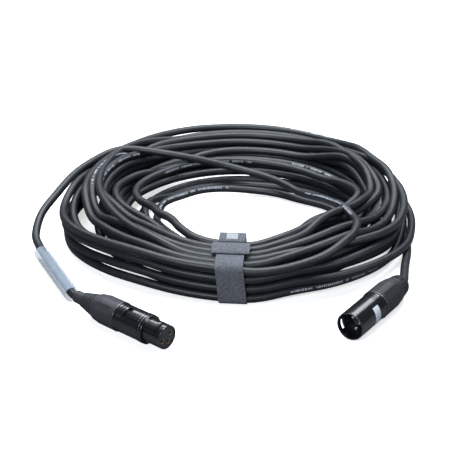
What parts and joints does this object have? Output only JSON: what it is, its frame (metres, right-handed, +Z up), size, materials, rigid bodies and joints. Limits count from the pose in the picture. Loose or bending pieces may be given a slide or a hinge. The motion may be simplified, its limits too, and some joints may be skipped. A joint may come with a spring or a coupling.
{
  "type": "xlr cable coil",
  "caption": "Coiled microphone cable held by a fabric tie, with a male and a latching female three-pin line connector and a clear label sleeve",
  "frame": {"origin": "middle of the footprint, on the surface the coil lies on", "axes": "+Z up, +Y from the connectors and the tie towards the back of the coil, +X to the right"},
  "size_m": [0.2858, 0.3357, 0.0366],
  "materials": {
    "jacket": "matte, with a soft sheen",
    "clear_sleeve": "clear, faintly blue",
    "tie_fabric": "brushed hook-and-loop",
    "shell_black": "glossy black",
    "insert_black": "satin black",
    "latch_black": "glossy black",
    "bright_metal": "bright",
    "contact_metal": "satin",
    "core_plastic": "satin",
    "collet_plastic": "matte",
    "nut_plastic": "matte dark grey",
    "boot_rubber": "matte"
  },
  "bodies": {
    "lead": {"cable_coil": "jacket", "cable_lead_female": "jacket", "cable_lead_male": "jacket", "tie_strap": "tie_fabric", "female_shell": "shell_black", "female_insert": "insert_black", "female_contact_1": "contact_metal", "female_contact_2": "contact_metal", "female_contact_3": "contact_metal", "female_latch_pin": "bright_metal", "female_latch_spring": "bright_metal", "female_wires": "core_plastic", "male_shell": "shell_black", "male_insert": "insert_black", "male_pin_1": "bright_metal", "male_pin_2": "bright_metal", "male_pin_3": "bright_metal", "male_wires": "core_plastic"},
    "latch": {"female_latch": "latch_black"},
    "label": {"label_sleeve": "clear_sleeve"},
    "tail": {"tie_tail": "tie_fabric"},
    "female_collet": {"female_chuck": "collet_plastic"},
    "female_nut": {"female_bushing": "nut_plastic", "female_boot": "boot_rubber"},
    "male_collet": {"male_chuck": "collet_plastic"},
    "male_nut": {"male_bushing": "nut_plastic", "male_boot": "boot_rubber"}
  },
  "joints": [
    {"name": "female_latch_press", "type": "hinge", "parent": "lead", "child": "latch", "pos_m": [-0.06182, -0.14477, 0.01693], "axis": [0.6001, 0.7152, 0.3584], "range_deg": [0, 2.5], "stiffness_Nm_per_rad": 1, "springref_deg": -1.15, "deforming": ["female_latch_spring"]},
    {"name": "label_sleeve_slide", "type": "slide", "parent": "lead", "child": "label", "axis": [-0.4088, 0.9118, -0.0386], "range_m": [0, 0.008]},
    {"name": "tie_tail_peel", "type": "hinge", "parent": "lead", "child": "tail", "pos_m": [0.00302, -0.07189, 0.03145], "axis": [0.9969, -0.0785, 0], "range_deg": [0, 120]},
    {"name": "female_collet_draw", "type": "slide", "parent": "lead", "child": "female_collet", "axis": [-0.766, 0.6428, 0], "range_m": [0, 0.003]},
    {"name": "female_nut_unscrew", "type": "hinge", "parent": "female_collet", "child": "female_nut", "pos_m": [-0.07474, -0.1306, 0.0103], "axis": [-0.766, 0.6428, 0], "range_deg": [0, 1080]},
    {"name": "male_collet_draw", "type": "slide", "parent": "lead", "child": "male_collet", "axis": [0.5736, 0.8192, 0], "range_m": [0, 0.003]},
    {"name": "male_nut_unscrew", "type": "hinge", "parent": "male_collet", "child": "male_nut", "pos_m": [0.10218, -0.11429, 0.0103], "axis": [0.5736, 0.8192, 0], "range_deg": [0, 1080]}
  ],
  "couplings": [
    {"joint": "female_collet_draw", "follows": "female_nut_unscrew", "m_per_rad": 0.00015915},
    {"joint": "male_collet_draw", "follows": "male_nut_unscrew", "m_per_rad": 0.00015915}
  ]
}
